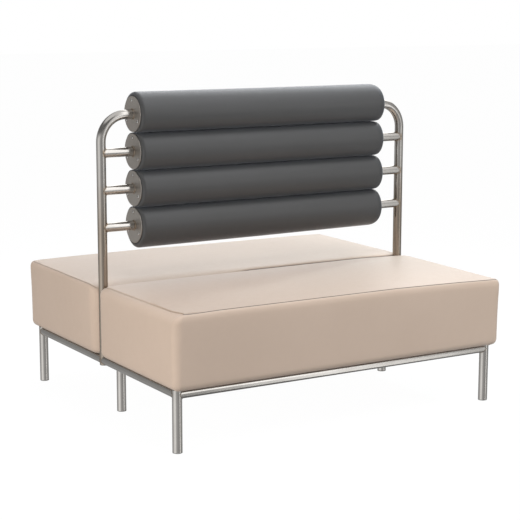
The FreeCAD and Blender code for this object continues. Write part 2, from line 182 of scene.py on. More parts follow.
shellSet = {
    "radius": 9.0,
    "around": 90,
    "upward": 45,
    "highest": 89.0,            # rise of the last ring, in degrees
    # what the metal mirrors: angle from the camera's side (minus is to its left), grey just below eye level
    "turn": (-180, -160, -140, -115, -95, -78, -60, -42, -26, -12,
             0, 40, 58, 74, 88, 104, 122, 158, 180),
    "grey": (0.60, 0.46, 0.42, 0.46, 0.60, 0.90, 1.25, 1.40, 1.05, 0.62,
             0.56, 0.42, 0.42, 0.44, 0.48, 0.46, 0.38, 0.38, 0.60),
    # share of that grey at some rises over the horizon
    "rise": (-60, -30, -17, -8, 0),
    "riseShare": (0.45, 0.90, 1.10, 0.88, 0.86),
    # a bright panel in front, as far as its edge in X, and the grey wall past that
    "panelTurn": 48,
    "panelEdge": 0.57,
    "panelRise": (3, 66),
    "panelDepth": 0.1,
    "panel": 2.1,
    "wallTurn": 118,
    "wallTop": 50,
    "wall": 0.55,
    # at the right the lower grey reaches further up, and at the horizon the lower and upper greys meet
    "flankTurn": (95, 115, 150, 168),
    "flankRise": (30, 45),
    "horizon": (-3, 5),
    # a dark stretch well above eye level, from the left round to the front
    "darkTurn": (-165, 34),
    "darkRise": (14, 26, 46, 56),
    "dark": 0.20,
    "backTurn": 158,            # the lit white wall behind
    "backRise": (3, 45),
    "back": 1.2,
    # the lit floor in front, as the lengthwise rails mirror it
    "floorEdge": (0.45, 0.63),
    "floorRise": (-46, 5),
    "floor": 1.7,
    # the soft box over the back seat, as the top roll's upper side mirrors it
    "boxEdge": (0.28, 0.78),
    "boxDepth": 0.05,
    "boxRise": 24,
    "box": 2.6,
}


def addShell(s, yaw):
    # A wide ball round the set that only reflections see. Its grey is worked out for each point from the turn
    # round the upright axis and the rise over the horizon, as bright and dark boards stand round a shot.
    turn = np.linspace(-180, 180, s["around"] + 1)[:-1]
    rise = np.linspace(-s["highest"], s["highest"], s["upward"] + 1)
    turns, rises = np.meshgrid(turn, rise)
    # turn 0 looks from the object to the camera, plus turns towards the picture's right
    heading = math.radians(180 + yaw) - np.radians(turns)
    toX = np.sin(heading) * np.cos(np.radians(rises))
    toY = np.cos(heading) * np.cos(np.radians(rises))
    low = np.interp(turns, s["turn"], s["grey"]) * np.interp(rises, s["rise"], s["riseShare"])
    high = np.ones_like(low)
    inWall = (turns > s["panelTurn"]) & (turns < s["wallTurn"])
    inWall &= (toX > s["panelEdge"]) & (rises < s["wallTop"])
    high = np.where(inWall, s["wall"], high)
    inDark = (turns > s["darkTurn"][0]) & (turns < s["darkTurn"][1])
    shade = np.interp(rises, s["darkRise"], (0, 1, 1, 0))
    below = np.where(rises < s["darkRise"][1], low, high)
    high = np.where(inDark, below + (s["dark"] - below) * shade, high)
    flank = np.interp(turns, s["flankTurn"], (0, 1, 1, 0)) * np.interp(rises, s["flankRise"], (1, 0))
    high = high * (1 - flank) + low * flank
    grey = low + (high - low) * np.interp(rises, s["horizon"], (0, 1))
    inPanel = (turns > s["panelTurn"]) & (turns < s["wallTurn"])
    inPanel &= (toX < s["panelEdge"]) & (toY < s["panelDepth"])
    inPanel &= (rises > s["panelRise"][0]) & (rises < s["panelRise"][1])
    grey = np.where(inPanel, s["panel"], grey)
    inBack = (np.abs(turns) > s["backTurn"]) & (rises > s["backRise"][0]) & (rises < s["backRise"][1])
    grey = np.where(inBack, s["back"], grey)
    inBox = (toX > s["boxEdge"][0]) & (toX < s["boxEdge"][1])
    inBox &= (toY > s["boxDepth"]) & (rises > s["boxRise"])
    grey = np.where(inBox, s["box"], grey)
    inFloor = (toX > s["floorEdge"][0]) & (toX < s["floorEdge"][1]) & (toY < 0)
    inFloor &= (rises > s["floorRise"][0]) & (rises < s["floorRise"][1])
    grey = np.where(inFloor, s["floor"], grey)
    points = np.dstack([toX, toY, np.sin(np.radians(rises))]) * s["radius"]
    index = np.arange(points.shape[0] * points.shape[1]).reshape(points.shape[:2])
    after = np.roll(index, -1, 1)
    faces = np.stack([index[:-1], after[:-1], after[1:], index[1:]], -1).reshape(-1, 4)
    mesh = bpy.data.meshes.new("studioShell")
    mesh.from_pydata(points.reshape(-1, 3).tolist(), [], faces.tolist())
    mesh.attributes.new("grey", "FLOAT", "POINT").data.foreach_set("value", grey.ravel().astype(np.float32))
    shell = bpy.data.objects.new("studioShell", mesh)
    shell.visible_camera = shell.visible_diffuse = shell.visible_shadow = False
    shell.visible_transmission = shell.visible_volume_scatter = False
    scene.collection.objects.link(shell)
    mat = bpy.data.materials.new("studioShell")
    mat.use_nodes = True
    mat.cycles.emission_sampling = "NONE"
    tree = mat.node_tree
    tree.nodes.clear()
    value = tree.nodes.new("ShaderNodeAttribute")
    value.attribute_name = "grey"
    glow = tree.nodes.new("ShaderNodeEmission")
    out = tree.nodes.new("ShaderNodeOutputMaterial")
    tree.links.new(value.outputs["Color"], glow.inputs["Color"])
    tree.links.new(glow.outputs[0], out.inputs["Surface"])
    mesh.materials.append(mat)


addShell(shellSet, cameraSet["yaw"])
print("camera, lamps, world and floor ready")

# Effects shared by the materials


def newGroup(name, inputs, outputs):
    group = bpy.data.node_groups.new(name, "ShaderNodeTree")
    for label, value in inputs.items():
        kind = "NodeSocketColor" if isinstance(value, tuple) else "NodeSocketFloat"
        socket = group.interface.new_socket(label, in_out="INPUT", socket_type=kind)
        socket.default_value = (*value, 1) if isinstance(value, tuple) else value
    for label, kind in outputs.items():
        group.interface.new_socket(label, in_out="OUTPUT", socket_type="NodeSocket" + kind)
    start = group.nodes.new("NodeGroupInput")
    end = group.nodes.new("NodeGroupOutput")
    return group, start, end


def mathNode(tree, operation, a, b=None, c=None):
    # One Math node; each input is a socket or a number
    node = tree.nodes.new("ShaderNodeMath")
    node.operation = operation
    for slot, value in enumerate((a, b, c)):
        if value is None:
            continue
        if isinstance(value, (int, float)):
            node.inputs[slot].default_value = value
        else:
            tree.links.new(value, node.inputs[slot])
    return node.outputs[0]


def noiseNode(tree, vector, scale, detail=3.0, roughness=0.5):
    node = tree.nodes.new("ShaderNodeTexNoise")
    node.inputs["Scale"].default_value = scale
    node.inputs["Detail"].default_value = detail
    node.inputs["Roughness"].default_value = roughness
    tree.links.new(vector, node.inputs["Vector"])
    return node.outputs["Fac"]


def centred(tree, value, span):
    # Noise from 0 to 1, moved to lie round zero and spread over the span
    return mathNode(tree, "MULTIPLY", mathNode(tree, "SUBTRACT", value, 0.5), span)


def stretched(tree, vector, scales):
    # Object coordinates squeezed along some axes, so that noise turns into streaks
    node = tree.nodes.new("ShaderNodeMapping")
    node.inputs["Scale"].default_value = scales
    tree.links.new(vector, node.inputs["Vector"])
    return node.outputs[0]


def objectCoords(tree):
    return tree.nodes.new("ShaderNodeTexCoord").outputs["Object"]


def mixColour(tree, share, a, b):
    node = tree.nodes.new("ShaderNodeMix")
    node.data_type = "RGBA"
    for value, slot in ((a, "A"), (b, "B")):
        socket = [i for i in node.inputs if i.name == slot and i.type == "RGBA"][0]
        if isinstance(value, tuple):
            socket.default_value = (*value, 1)
        else:
            tree.links.new(value, socket)
    factor = [i for i in node.inputs if i.name == "Factor" and i.type == "VALUE"][0]
    if isinstance(share, (int, float)):
        factor.default_value = share
    else:
        tree.links.new(share, factor)
    return [o for o in node.outputs if o.type == "RGBA"][0]


def ramp(tree, value, low, high):
    # 0 at low, 1 at high, smooth between
    node = tree.nodes.new("ShaderNodeMapRange")
    node.interpolation_type = "SMOOTHSTEP"
    node.inputs["From Min"].default_value = low
    node.inputs["From Max"].default_value = high
    tree.links.new(value, node.inputs["Value"])
    return node.outputs["Result"]


vinylGrainSet = {
    "creaseWidth": 0.22,        # as a share of a cell
    "fine": 2600.0,
    "fineHeight": 0.35,
    "slow": 3.2,
    "slowSpan": (0.35, 0.65),
    "slowShare": 0.35,
    "mottle": 46.0,
    "mottleShare": 0.3,
    "mottleGloss": 0.12,
}


def buildVinylGroup(s):
    # Pebbled vinyl: rounded cells about a millimetre wide, fine creases between, and slow changes of shade
    group, start, end = newGroup(
        "vinylGrain",
        {"Colour": (0.5, 0.5, 0.5), "Shade": (0.4, 0.4, 0.4), "Cell Size": 850.0, "Gloss": 0.45},
        {"Colour": "Color", "Roughness": "Float", "Height": "Float"},
    )
    coords = objectCoords(group)
    cells = group.nodes.new("ShaderNodeTexVoronoi")
    cells.feature = "DISTANCE_TO_EDGE"
    group.links.new(coords, cells.inputs["Vector"])
    group.links.new(start.outputs["Cell Size"], cells.inputs["Scale"])
    creases = ramp(group, cells.outputs["Distance"], 0.0, s["creaseWidth"])
    fine = noiseNode(group, coords, s["fine"], 2.0)
    slow = noiseNode(group, coords, s["slow"], 2.0)
    mottle = noiseNode(group, coords, s["mottle"], 4.0)
    height = mathNode(group, "MULTIPLY_ADD", fine, s["fineHeight"], creases)
    group.links.new(height, end.inputs["Height"])
    share = mathNode(group, "MULTIPLY", mottle, s["mottleShare"])
    share = mathNode(group, "MULTIPLY_ADD", ramp(group, slow, *s["slowSpan"]), s["slowShare"], share)
    mixed = mixColour(group, share, start.outputs["Colour"], start.outputs["Shade"])
    group.links.new(mixed, end.inputs["Colour"])
    rough = mathNode(group, "ADD", start.outputs["Gloss"], centred(group, mottle, s["mottleGloss"]))
    group.links.new(rough, end.inputs["Roughness"])
    return group


brushedSet = {
    "streaks": 900.0,
    "streakSpan": (0.3, 0.7),
    "streakShare": 0.45,
    "broad": 160.0,
    "broadPolish": 0.22,
    "clouds": 9.0,
    "cloudSpan": (0.35, 0.7),
    "cloudShare": 0.35,
    "cloudPolish": 0.1,
}


def buildBrushedGroup(s):
    # Satin stainless: fine streaks along the brushing and cloudy polish marks
    group, start, end = newGroup(
        "brushedSteel",
        {"Colour": (0.5, 0.5, 0.5), "Dark": (0.3, 0.3, 0.3), "Along X": 1.0, "Along Y": 1.0, "Along Z": 1.0,
         "Polish": 0.28},
        {"Colour": "Color", "Roughness": "Float", "Height": "Float"},
    )
    coords = objectCoords(group)
    scales = group.nodes.new("ShaderNodeCombineXYZ")
    for axis in "XYZ":
        group.links.new(start.outputs["Along " + axis], scales.inputs[axis])
    squeeze = group.nodes.new("ShaderNodeVectorMath")
    squeeze.operation = "MULTIPLY"
    group.links.new(coords, squeeze.inputs[0])
    group.links.new(scales.outputs[0], squeeze.inputs[1])
    streaks = noiseNode(group, squeeze.outputs[0], s["streaks"], 3.0, 0.6)
    broad = noiseNode(group, squeeze.outputs[0], s["broad"], 2.0, 0.5)
    clouds = noiseNode(group, coords, s["clouds"], 3.0)
    share = mathNode(group, "MULTIPLY", ramp(group, clouds, *s["cloudSpan"]), s["cloudShare"])
    share = mathNode(group, "MULTIPLY_ADD", ramp(group, streaks, *s["streakSpan"]), s["streakShare"], share)
    mixed = mixColour(group, share, start.outputs["Colour"], start.outputs["Dark"])
    group.links.new(mixed, end.inputs["Colour"])
    rough = mathNode(group, "ADD", start.outputs["Polish"], centred(group, broad, s["broadPolish"]))
    rough = mathNode(group, "ADD", rough, centred(group, clouds, s["cloudPolish"]))
    group.links.new(rough, end.inputs["Roughness"])
    group.links.new(streaks, end.inputs["Height"])
    return group


weldTintAndShadeSet = {
    "lowest": 0.640,            # height of the lowest roll's tubes, and the step up to the next
    "pitch": 0.125,
    "tube": 0.0159,
    "patches": 90.0,
    "patchSpan": 0.010,
}


def buildWeldTintAndShadeGroup(s):
    # Heat tint round the welds of the rolls' tubes, which also serves as painted shade where the tubes meet the
    # discs and uprights. Each weld runs round a tube along X, on the flat of a disc or on the round of an
    # upright. The way to
    # it has two parts: along X, and outwards from the tube's axis.
    group, start, end = newGroup(
        "weldTintAndShade",
        {"Colour": (0.5, 0.5, 0.5), "Tint": (0.2, 0.12, 0.06), "Along": 0.494, "Round": 0.0, "Last": 3.0,
         "Reach": 0.006},
        {"Colour": "Color"},
    )
    coords = objectCoords(group)
    split = group.nodes.new("ShaderNodeSeparateXYZ")
    group.links.new(coords, split.inputs[0])
    x, y, z = (split.outputs[axis] for axis in "XYZ")
    flatY = mathNode(group, "MULTIPLY", y, y)
    curve = start.outputs["Round"]
    bulge = mathNode(group, "MULTIPLY_ADD", curve, curve, mathNode(group, "MULTIPLY", flatY, -1.0))
    bulge = mathNode(group, "SQRT", mathNode(group, "MAXIMUM", bulge, 0.0))
    along = mathNode(group, "SUBTRACT", mathNode(group, "ABSOLUTE", x), start.outputs["Along"])
    along = mathNode(group, "ADD", along, bulge)
    number = mathNode(group, "DIVIDE", mathNode(group, "SUBTRACT", z, s["lowest"]), s["pitch"])
    number = mathNode(group, "ROUND", number)
    number = mathNode(group, "MINIMUM", mathNode(group, "MAXIMUM", number, 0.0), start.outputs["Last"])
    level = mathNode(group, "SUBTRACT", z, mathNode(group, "MULTIPLY_ADD", number, s["pitch"], s["lowest"]))
    outward = mathNode(group, "SQRT", mathNode(group, "MULTIPLY_ADD", level, level, flatY))
    outward = mathNode(group, "SUBTRACT", outward, s["tube"])
    way = mathNode(group, "MULTIPLY_ADD", outward, outward, mathNode(group, "MULTIPLY", along, along))
    way = mathNode(group, "SQRT", way)
    patchy = centred(group, noiseNode(group, coords, s["patches"], 2.0), s["patchSpan"])
    share = mathNode(group, "DIVIDE", mathNode(group, "ADD", way, patchy), start.outputs["Reach"])
    mask = ramp(group, mathNode(group, "SUBTRACT", 1.0, share), 0.0, 1.0)
    mixed = mixColour(group, mask, start.outputs["Colour"], start.outputs["Tint"])
    group.links.new(mixed, end.inputs["Colour"])
    return group


def buildPaintedReflectionGroup():
    # Painted reflection: the steel darkens and browns towards the seats, standing in for the warm seats mirrored
    # in it
    group, start, end = newGroup(
        "paintedSeatReflection",
        {"Colour": (0.5, 0.5, 0.5), "Low": 0.66, "High": 0.90, "Left": (0.74, 0.66, 0.58)},
        {"Colour": "Color"},
    )
    coords = objectCoords(group)
    split = group.nodes.new("ShaderNodeSeparateXYZ")
    group.links.new(coords, split.inputs[0])
    height = mathNode(group, "MULTIPLY_ADD", noiseNode(group, coords, 14.0, 3.0), 0.10, split.outputs["Z"])
    share = mathNode(group, "SUBTRACT", height, start.outputs["Low"])
    span = mathNode(group, "SUBTRACT", start.outputs["High"], start.outputs["Low"])
    share = ramp(group, mathNode(group, "DIVIDE", share, span), 0.0, 1.0)
    reflectionTint = group.nodes.new("ShaderNodeVectorMath")
    reflectionTint.operation = "MULTIPLY"
    group.links.new(start.outputs["Colour"], reflectionTint.inputs[0])
    group.links.new(start.outputs["Left"], reflectionTint.inputs[1])
    group.links.new(mixColour(group, share, reflectionTint.outputs[0], start.outputs["Colour"]), end.inputs["Colour"])
    return group


vinylGroup = buildVinylGroup(vinylGrainSet)
weldTintAndShadeGroup = buildWeldTintAndShadeGroup(weldTintAndShadeSet)
paintedReflectionGroup = buildPaintedReflectionGroup()
brushedGroup = buildBrushedGroup(brushedSet)


def newMaterial(name, constants):
    mat = bpy.data.materials.new(name)
    mat.use_nodes = True
    shader = mat.node_tree.nodes["Principled BSDF"]
    for label, value in constants.items():
        shader.inputs[label].default_value = value
    return mat, mat.node_tree, shader


def useBump(tree, shader, height, strength, distance):
    bump = tree.nodes.new("ShaderNodeBump")
    bump.inputs["Strength"].default_value = strength
    bump.inputs["Distance"].default_value = distance
    tree.links.new(height, bump.inputs["Height"])
    tree.links.new(bump.outputs[0], shader.inputs["Normal"])


def useGroup(tree, group, values):
    node = tree.nodes.new("ShaderNodeGroup")
    node.node_tree = group
    for label, value in values.items():
        node.inputs[label].default_value = (*value, 1) if isinstance(value, tuple) else value
    return node


def srgb(*colour):
    # A colour from 0 to 255 as it shows on a screen, turned into the linear value that a shader takes
    shares = [c / 255 for c in colour]
    return tuple(c / 12.92 if c <= 0.04045 else ((c + 0.055) / 1.055) ** 2.4 for c in shares)


# the seam share is how much of the colour the painted shade in the seams keeps
seatVinylSet = {
    "colour": srgb(189, 169, 152), "shade": srgb(182, 162, 145), "cell": 850.0, "gloss": 0.46, "bump": 0.2,
    "shine": 0.55, "sheen": 0.14, "sheenTint": (1.0, 1.0, 1.0), "paintedShadeShare": 0.16,
}
rollVinylSet = {
    "colour": srgb(62, 62, 62), "shade": srgb(57, 57, 56), "cell": 900.0, "gloss": 0.38, "bump": 0.2,
    "shine": 0.38, "sheen": 0.15, "sheenTint": (0.80, 0.86, 1.0), "paintedShadeShare": 0.16,
}


def vinylMaterial(name, s):
    mat, tree, shader = newMaterial(name, {
        "Specular IOR Level": s["shine"], "Sheen Weight": s["sheen"], "Sheen Roughness": 0.45,
        "Sheen Tint": (*s["sheenTint"], 1),
    })
    grain = useGroup(tree, vinylGroup, {
        "Colour": s["colour"], "Shade": s["shade"], "Cell Size": s["cell"], "Gloss": s["gloss"],
    })
    # The crease attribute is painted shade, up to 1 in the seam grooves and where the rolls' covers meet
    # the discs and 0 elsewhere; it darkens the colour there
    paintedShade = tree.nodes.new("ShaderNodeAttribute")
    paintedShade.attribute_name = "paintedShade"
    dark = tuple(c * s["paintedShadeShare"] for c in s["colour"])
    colour = mixColour(tree, paintedShade.outputs["Fac"], grain.outputs["Colour"], dark)
    tree.links.new(colour, shader.inputs["Base Color"])
    tree.links.new(grain.outputs["Roughness"], shader.inputs["Roughness"])
    useBump(tree, shader, grain.outputs["Height"], s["bump"], 0.0002)
    return mat


seatVinyl = vinylMaterial("seatVinyl", seatVinylSet)
rollVinyl = vinylMaterial("rollVinyl", rollVinylSet)

steelSet = {"colour": srgb(190, 187, 183), "dark": srgb(172, 168, 163), "polish": 0.18}
discSet = {"colour": srgb(190, 184, 177), "dark": srgb(160, 153, 145), "polish": 0.40}
tabSet = {"colour": srgb(180, 176, 170), "dark": srgb(150, 146, 140), "polish": 0.40}
screwSet = {"colour": srgb(205, 203, 200), "dark": srgb(160, 158, 155), "polish": 0.22}

# How much the noise is squeezed on each axis: streaks run along the tube
streakScales = {
    "x": (0.02, 1.0, 1.0), "y": (1.0, 0.02, 1.0), "z": (1.0, 1.0, 0.02), "all": (0.6, 0.6, 0.6),
}
# heat tint colour at the welds; it also paints shade at the joints of tubes, discs and uprights
weldTintAndShadeColour = srgb(160, 145, 128)
# Along, Round and Last of the weld tint and its painted shade, by the place of the weld
discWeld = (0.494, 0.0, 3.0)
postWeld = (0.610, 0.016, 2.0)


def steelMaterial(name, along, s, welds=(), paintedReflection=False):
    scales = streakScales[along]
    mat, tree, shader = newMaterial(name, {"Metallic": 1.0})
    grain = useGroup(tree, brushedGroup, {
        "Colour": s["colour"], "Dark": s["dark"], "Polish": s["polish"],
        "Along X": scales[0], "Along Y": scales[1], "Along Z": scales[2],
    })
    colour = grain.outputs["Colour"]
    # Painted reflection of the warm seats, browning the steel low down
    if paintedReflection:
        reflectionTint = useGroup(tree, paintedReflectionGroup, {})
        tree.links.new(colour, reflectionTint.inputs["Colour"])
        colour = reflectionTint.outputs["Colour"]
    # Weld heat tint, partly painted shade where the parts meet
    for place, roundness, last in welds:
        tint = useGroup(tree, weldTintAndShadeGroup, {
            "Along": place, "Round": roundness, "Last": last, "Tint": weldTintAndShadeColour,
        })
        tree.links.new(colour, tint.inputs["Colour"])
        colour = tint.outputs["Colour"]
    tree.links.new(colour, shader.inputs["Base Color"])
    tree.links.new(grain.outputs["Roughness"], shader.inputs["Roughness"])
    useBump(tree, shader, grain.outputs["Height"], 0.06, 0.0001)
    return mat


steelX = steelMaterial("steelAlongX", "x", steelSet)
steelY = steelMaterial("steelAlongY", "y", steelSet)
steelZ = steelMaterial("steelAlongZ", "z", steelSet)
steelDisc = steelMaterial("steelDisc", "all", discSet, (discWeld,))
steelTab = steelMaterial("steelTab", "all", tabSet)
# The uprights take the weld tint with its painted joint shade, and the painted reflection of the seats
steelPost = steelMaterial("steelPost", "z", steelSet, (discWeld, postWeld), True)
steelStub = steelMaterial("steelStub", "x", steelSet, (discWeld, postWeld))
steelScrew = steelMaterial("steelScrew", "all", screwSet)


def speckleMaterial(name, light, dark, size, rough, strength):
    # Foam cells or moulded plastic: a fine speckle in colour and height
    mat, tree, shader = newMaterial(name, {})
    coords = objectCoords(tree)
    fine = noiseNode(tree, coords, size, 4.0, 0.6)
    slow = noiseNode(tree, coords, 12.0, 2.0)
    share = mathNode(tree, "MULTIPLY_ADD", fine, 0.6, mathNode(tree, "MULTIPLY", slow, 0.4))
    tree.links.new(mixColour(tree, share, light, dark), shader.inputs["Base Color"])
    tree.links.new(mathNode(tree, "MULTIPLY_ADD", fine, 0.2, rough - 0.1), shader.inputs["Roughness"])
    useBump(tree, shader, fine, strength, 0.0003)
    return mat


def woodMaterial(name, light, dark):
    # Birch ply: long grain along X with narrow darker lines
    mat, tree, shader = newMaterial(name, {})
    coords = objectCoords(tree)
    long = stretched(tree, coords, (0.06, 1.0, 1.0))
    lines = noiseNode(tree, long, 60.0, 5.0, 0.65)
    pores = noiseNode(tree, stretched(tree, coords, (0.03, 1.0, 1.0)), 700.0, 2.0)
    share = mathNode(tree, "MULTIPLY", pores, 0.3)
    share = mathNode(tree, "MULTIPLY_ADD", ramp(tree, lines, 0.35, 0.7), 0.7, share)
    tree.links.new(mixColour(tree, share, light, dark), shader.inputs["Base Color"])
    tree.links.new(mathNode(tree, "MULTIPLY_ADD", lines, 0.2, 0.55), shader.inputs["Roughness"])
    useBump(tree, shader, pores, 0.25, 0.0002)
    return mat


foamMaterial = speckleMaterial("paleFoam", srgb(236, 226, 190), srgb(216, 203, 160), 900.0, 0.9, 0.6)
pipeMaterial = speckleMaterial("corePipe", srgb(150, 152, 154), srgb(128, 130, 132), 300.0, 0.5, 0.1)
glideMaterial = speckleMaterial("glidePlastic", srgb(150, 150, 147), srgb(120, 120, 117), 500.0, 0.5, 0.15)
plyMaterial = woodMaterial("birchPly", srgb(214, 184, 140), srgb(176, 140, 96))
print("materials ready")

# Finish of the carried-over frame


# starts of node names and their material; the first line that fits a node counts
finishSet = (
    (("leg_front", "leg_back", "leg_middle"), steelZ),
    (("upright_left", "upright_right"), steelPost),
    (("stub",), steelStub),
    (("front_rail", "back_rail", "centre_rail"), steelX),
    (("end_rail",), steelY),
    (("disc_screws", "seat_tab_screws"), steelScrew),
    (("disc_",), steelDisc),
    (("seat_tabs",), steelTab),
    (("leg_glides", "upright_plugs"), glideMaterial),
    (("roll_core",), pipeMaterial),
    (("seat_base", "seat_box", "seat_deck", "roll_end_plugs"), plyMaterial),
    (("seat_foam", "roll_foam"), foamMaterial),
)


def finishFrame(table):
    for name in cadNodes:
        fitting = [mat for starts, mat in table if name.startswith(starts)]
        if fitting:
            cadNodes[name].data.materials.clear()
            cadNodes[name].data.materials.append(fitting[0])


finishFrame(finishSet)
print("frame finished")

# Surfaces


def ringFaces(rows, cols):
    # Quads between neighbouring closed rings of points
    r, c = np.meshgrid(np.arange(rows - 1), np.arange(cols), indexing="ij")
    n = (c + 1) % cols
    return np.stack([r * cols + c, r * cols + n, (r + 1) * cols + n, (r + 1) * cols + c], -1).reshape(-1, 4)


def gridFaces(index):
    # Quads of a rectangular table of point numbers
    return np.stack([index[:-1, :-1], index[1:, :-1], index[1:, 1:], index[:-1, 1:]], -1).reshape(-1, 4)


def addPiece(name, points, faces, mat):
    mesh = bpy.data.meshes.new(name)
    mesh.from_pydata(points.tolist(), [], faces.tolist())
    mesh.polygons.foreach_set("use_smooth", np.ones(len(mesh.polygons), bool))
    mesh.materials.append(mat)
    mesh.update()
    piece = bpy.data.objects.new(name, mesh)
    scene.collection.objects.link(piece)
    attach(piece, "root")
    return piece


def addPaintedShade(piece, paintedShade):
    # Painted shade weights for the vinyl's colour, one per point
    layer = piece.data.attributes.new("paintedShade", "FLOAT", "POINT")
    layer.data.foreach_set("value", paintedShade.astype(np.float32))


def smooth(t):
    t = np.clip(t, 0, 1)
    return t * t * (3 - 2 * t)


def ease(x, low, high):
    return smooth((x - low) / (high - low))


def readPoints(mesh):
    co = np.empty(len(mesh.vertices) * 3, np.float32)
    mesh.vertices.foreach_get("co", co)
    return co.reshape(-1, 3).astype(float)


def puff(name, points, faces, held, s):
    # Cloth under air pressure: held points (1) stay, free points (0) swell; gives how far each point moved
    mesh = bpy.data.meshes.new(name + "Puff")
    mesh.from_pydata(points.tolist(), [], faces.tolist())
    body = bpy.data.objects.new(name + "Puff", mesh)
    scene.collection.objects.link(body)
    group = body.vertex_groups.new(name="held")
    for weight in np.unique(np.round(held, 2)):
        if weight > 0:
            chosen = np.nonzero(np.round(held, 2) == weight)[0]
            group.add(chosen.tolist(), float(weight), "REPLACE")
    cloth = body.modifiers.new("cloth", "CLOTH")
    c = cloth.settings
    c.quality = 5
    c.mass = 0.35
    c.tension_stiffness = s["stretch"]
    c.compression_stiffness = s["stretch"]
    c.shear_stiffness = s["shear"]
    c.bending_stiffness = s["bend"]
    c.use_pressure = True
    c.uniform_pressure_force = s["pressure"]
    c.effector_weights.gravity = 0.0
    c.vertex_group_mass = "held"
    cloth.point_cache.frame_start = 1
    cloth.point_cache.frame_end = s["frames"]
    scene.frame_start = 1
    for number in range(1, s["frames"] + 1):
        scene.frame_set(number)
    swollen = body.evaluated_get(bpy.context.evaluated_depsgraph_get())
    moved = readPoints(swollen.to_mesh()) - points
    swollen.to_mesh_clear()
    bpy.data.objects.remove(body)
    bpy.data.meshes.remove(mesh)
    scene.frame_set(1)
    return moved


# Seat blocks

seatSet = {
    "half": 0.642,
    "outerY": 0.571,
    "innerY": 0.0004,
    "bottom": 0.2030,
    "top": 0.454,
    "hem": 0.034,
    "bottomRound": 0.023,
    "alongSteps": 168,
    "acrossSteps": 76,
    "wall": 0.0015,
    "postX": 0.610,
    "postRoom": 0.0167,
    "grooveWidth": 0.0030,
    "grooveDepth": 0.0026,
    "lip": 0.0012,              # the top panel's edge stands this much over the side panel's
    "cornerPull": 0.72,         # how far the points are drawn towards the corners
    "cornerReach": 0.055,
    "edgeTurn": 0.4 * math.pi,  # how far the edge's quarter ellipse is taken
    "crownX": 0.30,             # the top rises over these ways from its edges
    "crownY": 0.17,
    "heldBelow": 14,            # rings that the cloth simulation holds, from below and from the seam
    "heldAbove": 8,
}

# Sides in the order outer, right, inner, left; corners start with the outer left one. The seam tables give its
# height against X. Beside the slit the top rolls down by the depth over the width, at the left and the right.
frontBlock = {
    "name": "seatPadFront",
    "flip": 1.0,
    "corners": (0.028, 0.023, 0.055, 0.055),
    "seamInset": (0.0095, 0.008, 0.004, 0.028),
    # how strongly painted shade darkens the seam, for each side
    "seamShadeStrength": (1.0, 1.0, 0.3, 0.22),
    "cornerInset": 0.004,
    "cornerShift": (0.014, -0.004, 0.003),
    "edgeDrop": (0.024, 0.018, 0.012, 0.032),
    "draw": (0.0040, 0.0035, 0.0, 0.002),
    "outerSeam": ((-0.64, -0.60, -0.56, -0.48, 0.2, 0.34, 0.47, 0.58, 0.64),
                  (0.4425, 0.4435, 0.4450, 0.4470, 0.4466, 0.4440, 0.4412, 0.4378, 0.4358)),
    "innerSeam": ((-0.64, -0.55, 0.45, 0.60, 0.64), (0.4400, 0.4462, 0.4462, 0.4425, 0.4405)),
    "slitSeam": 0.0,
    "slitSpan": (-0.40, -0.10),
    "slitWidth": (0.036, 0.036),
    "slitDepth": (0.012, 0.012),
}
backBlock = {
    "name": "seatPadBack",
    "flip": -1.0,
    "corners": (0.022, 0.023, 0.055, 0.055),
    "seamInset": (0.009, 0.009, 0.004, 0.0075),
    "slitSeam": 0.007,
    # how strongly painted shade darkens the seam, for each side
    "seamShadeStrength": (1.0, 1.0, 0.3, 0.42),
    "cornerInset": 0.0,
    "cornerShift": (0.0, 0.0, 0.0),
    "edgeDrop": (0.020, 0.018, 0.012, 0.018),
    "draw": (0.003, 0.003, 0.0, 0.0035),
    "outerSeam": ((-0.64, -0.60, -0.50, -0.14, 0.0, 0.55, 0.64),
                  (0.4440, 0.4460, 0.4475, 0.4490, 0.4462, 0.4440, 0.4415)),
    "innerSeam": ((-0.64, -0.55, 0.45, 0.60, 0.64), (0.4405, 0.4462, 0.4462, 0.4425, 0.4405)),
    "slitSpan": (-0.40, -0.02),
    "slitWidth": (0.070, 0.036),
    "slitDepth": (0.020, 0.012),
}


def sideSamples(length, startRound, endRound, count, pull):
    # Distances along one side from mid-corner to mid-corner, closer together in the corners and near them
    startArc = startRound * math.pi / 4
    endArc = endRound * math.pi / 4
    t = np.linspace(0, 1, count + 1)
    # Spacing eases in from both ends: t is pulled towards the ends by a share of a sine
    eased = t - pull * np.sin(2 * np.pi * t) / (2 * np.pi)
    total = startArc + (length - startRound - endRound) + endArc
    return eased * total


